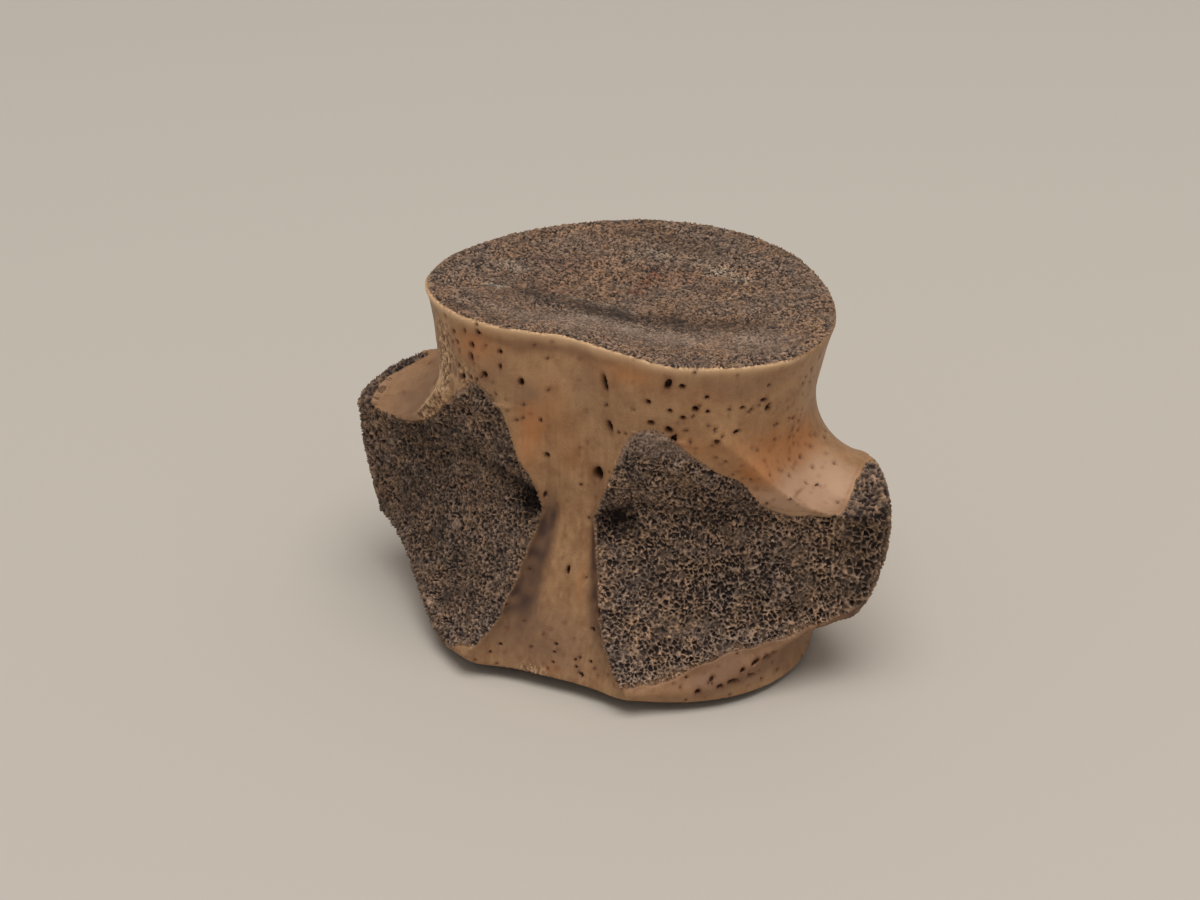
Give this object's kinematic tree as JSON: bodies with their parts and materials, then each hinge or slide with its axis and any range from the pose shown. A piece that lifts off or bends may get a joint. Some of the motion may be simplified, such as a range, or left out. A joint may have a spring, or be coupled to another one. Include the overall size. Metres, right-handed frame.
{
  "type": "fossil champsosaur vertebra",
  "caption": "Spool-shaped fossil vertebral body standing on its joint face, with a narrow canal floor between rough arch facets and a stubby flange on each side.",
  "frame": {"origin": "middle of the bottom of the bounding box, on the plane that the bone stands on", "axes": "+X from flange to flange, -Y towards the canal and arch facets, +Z from the lower joint face to the upper one"},
  "size_m": [0.0372, 0.0256, 0.0231],
  "materials": {
    "fossil_bone": "satin tan bone with dark, finely porous joint faces and arch facets"
  },
  "bodies": {
    "root": {"centrum": "fossil_bone"}
  },
  "joints": []
}
